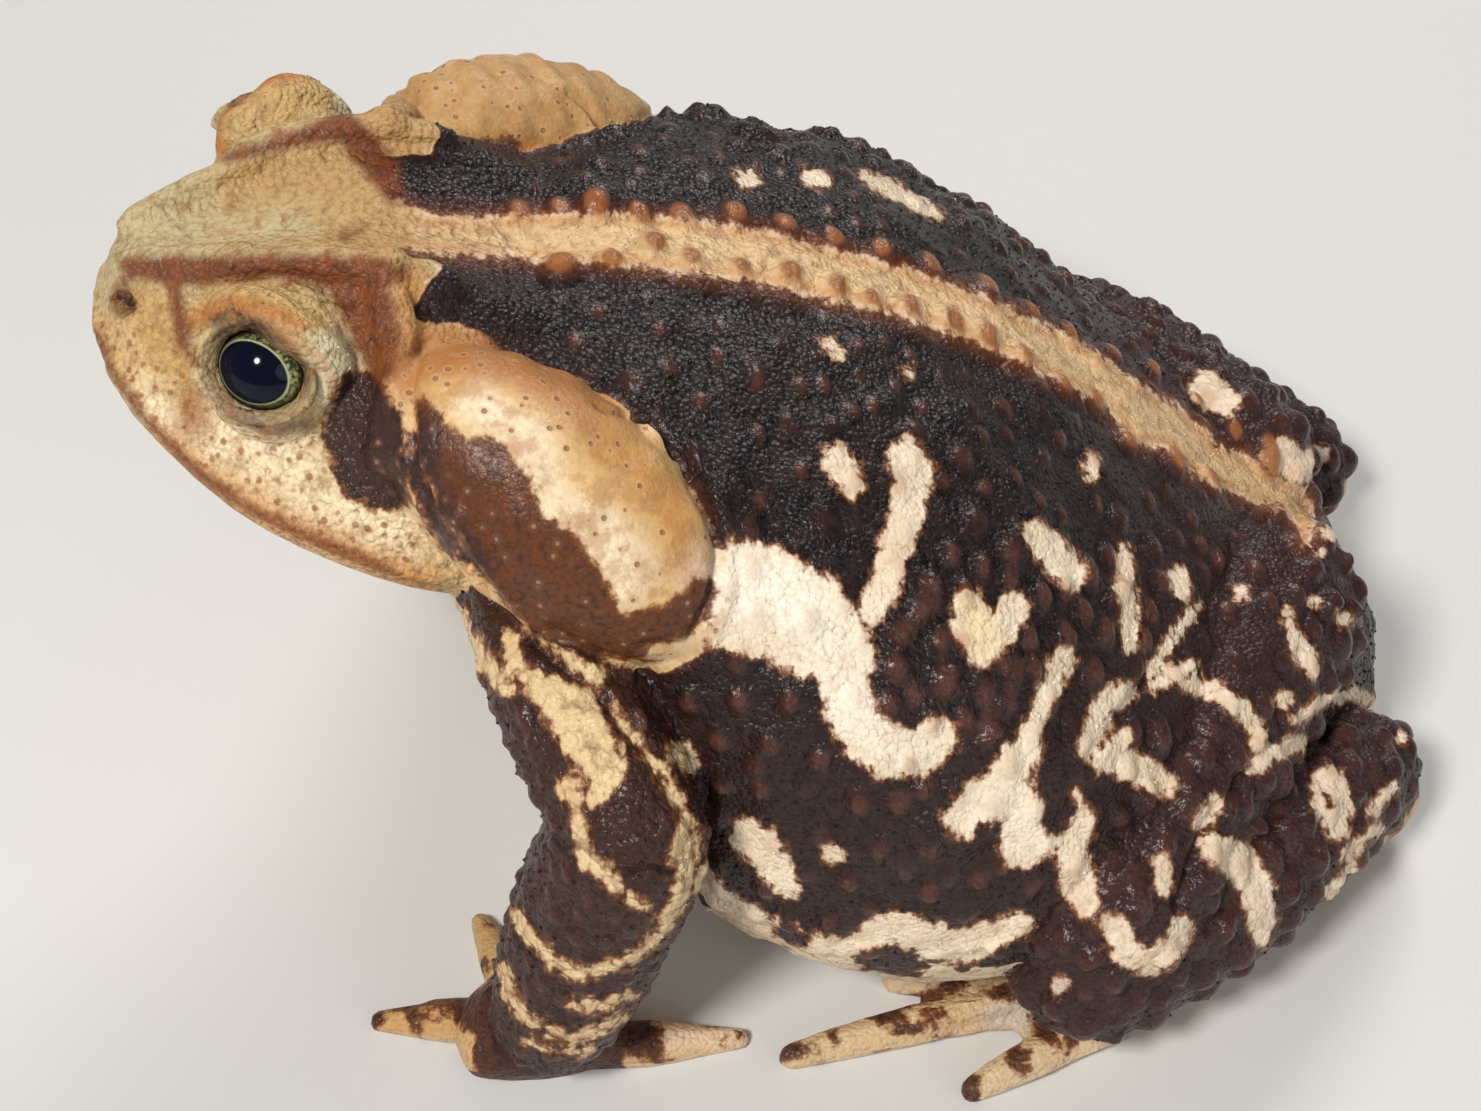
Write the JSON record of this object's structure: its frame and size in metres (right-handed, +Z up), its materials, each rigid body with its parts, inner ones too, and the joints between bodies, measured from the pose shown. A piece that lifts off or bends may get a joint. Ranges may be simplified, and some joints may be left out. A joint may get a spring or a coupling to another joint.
{
  "type": "cane toad",
  "caption": "Life-size cane toad sitting at rest, with large oval glands behind the eyes, ridged brows, folded limbs and a broad warty back.",
  "frame": {"origin": "on the floor under the middle of the belly's flat", "axes": "the toad faces -Y, its left side is at +X, and +Z is up"},
  "size_m": [0.1279, 0.1612, 0.091],
  "materials": {
    "skin": "dark brown warty skin with cream markings, slightly moist",
    "gland": "pored golden brown and cream gland skin",
    "eye": "wet black eye with a thin gold-green iris"
  },
  "bodies": {
    "root": {"head": "skin", "torso": "skin", "eye_left": "eye", "eye_right": "eye", "parotoid_left": "gland", "parotoid_right": "gland", "upper_arm_left": "skin", "upper_arm_right": "skin", "forearm_left": "skin", "forearm_right": "skin", "hand_left": "skin", "hand_right": "skin", "thigh_left": "skin", "thigh_right": "skin", "shank_left": "skin", "shank_right": "skin", "foot_left": "skin", "foot_right": "skin"}
  },
  "joints": []
}
